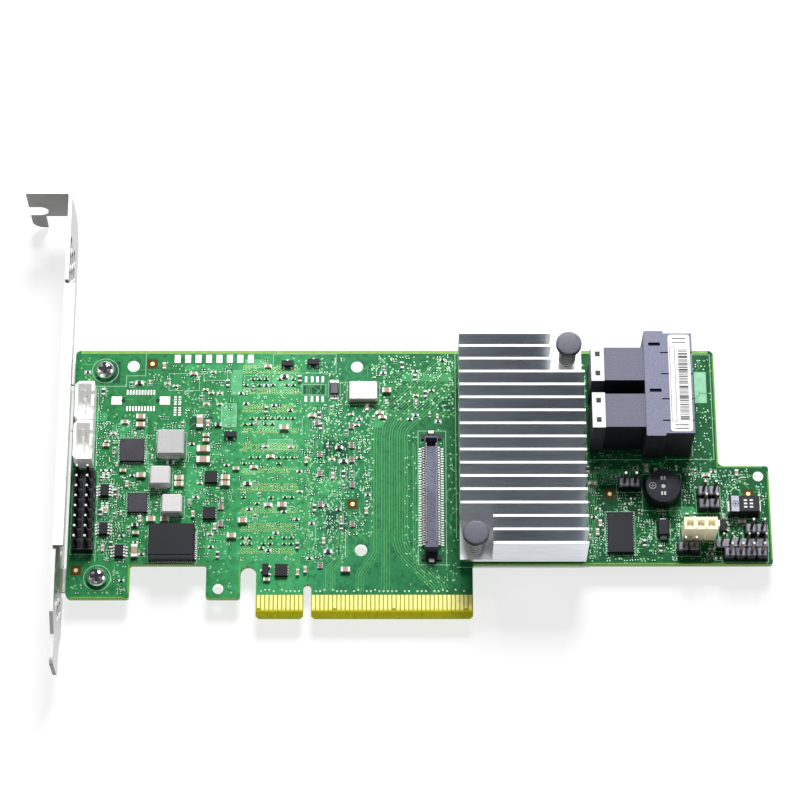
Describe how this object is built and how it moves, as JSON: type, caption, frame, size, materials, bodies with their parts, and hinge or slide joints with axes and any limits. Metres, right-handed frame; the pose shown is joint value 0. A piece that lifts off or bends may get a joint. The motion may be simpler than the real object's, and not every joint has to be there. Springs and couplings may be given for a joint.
{
  "type": "raid controller card",
  "caption": "Low-profile disk controller card with full-height vented bracket, finned heat sink and stacked internal drive sockets.",
  "frame": {"origin": "tip of the contact tongue on the board's component face, in the middle of the key notch", "axes": "+X along the card away from the bracket, +Y from the contact tongue to the card's top edge, +Z out of the component face"},
  "size_m": [0.1801, 0.12, 0.0184],
  "materials": {
    "board": "glossy solder mask on glass laminate",
    "gold": "plated gold",
    "bracket_steel": "plated steel, satin",
    "screw_steel": "bright plated steel",
    "spring_steel": "drawn wire",
    "sink_aluminium": "clear anodised, satin",
    "pin_plastic": "moulded black",
    "package_resin": "laminate",
    "die_silicon": "polished silicon",
    "thermal_grey": "soft pad",
    "grey_plastic": "moulded dark grey",
    "white_plastic": "moulded white",
    "cream_plastic": "moulded cream",
    "black_plastic": "moulded black",
    "label_paper": "printed label",
    "chip_resin": "moulded resin",
    "tin": "tinned",
    "coil_grey": "pressed powder",
    "coil_pale": "pressed powder",
    "crystal_ceramic": "fired",
    "crystal_metal": "plated lid",
    "tank_resin": "moulded",
    "capacitor_ceramic": "fired"
  },
  "bodies": {
    "root": {"circuit_board": "board", "edge_contacts": "gold", "bracket": "bracket_steel", "bracket_screws": "screw_steel", "heat_sink": "sink_aluminium", "push_pins": "pin_plastic", "push_pin_springs": "spring_steel", "controller_package": "package_resin", "controller_die": "die_silicon", "thermal_pad": "thermal_grey", "drive_cage": "grey_plastic", "drive_receptacles": "grey_plastic", "drive_contacts": "gold", "drive_covers": "white_plastic", "cage_label": "label_paper", "mezzanine_socket": "black_plastic", "mezzanine_leads": "tin", "mezzanine_locks": "tin", "jumper_headers": "black_plastic", "jumper_pins": "gold", "key_header": "black_plastic", "key_header_pins": "gold", "signal_sockets": "white_plastic", "signal_pins": "tin", "sensor_socket": "cream_plastic", "sensor_pins": "tin", "buzzer": "black_plastic", "memory_chips": "chip_resin", "flash_chip": "chip_resin", "charger_chip": "chip_resin", "driver_chip": "chip_resin", "small_chips": "chip_resin", "power_module": "chip_resin", "logic_chips": "chip_resin", "logic_leads": "tin", "transistors": "chip_resin", "transistor_leads": "tin", "large_inductor": "coil_grey", "small_inductors": "coil_pale", "crystal_base": "crystal_ceramic", "crystal_lid": "crystal_metal", "diode": "chip_resin", "diode_tabs": "tin", "tank_capacitor": "tank_resin", "tank_tabs": "tin", "ceramic_capacitors": "capacitor_ceramic", "underside_capacitors": "capacitor_ceramic"}
  },
  "joints": []
}
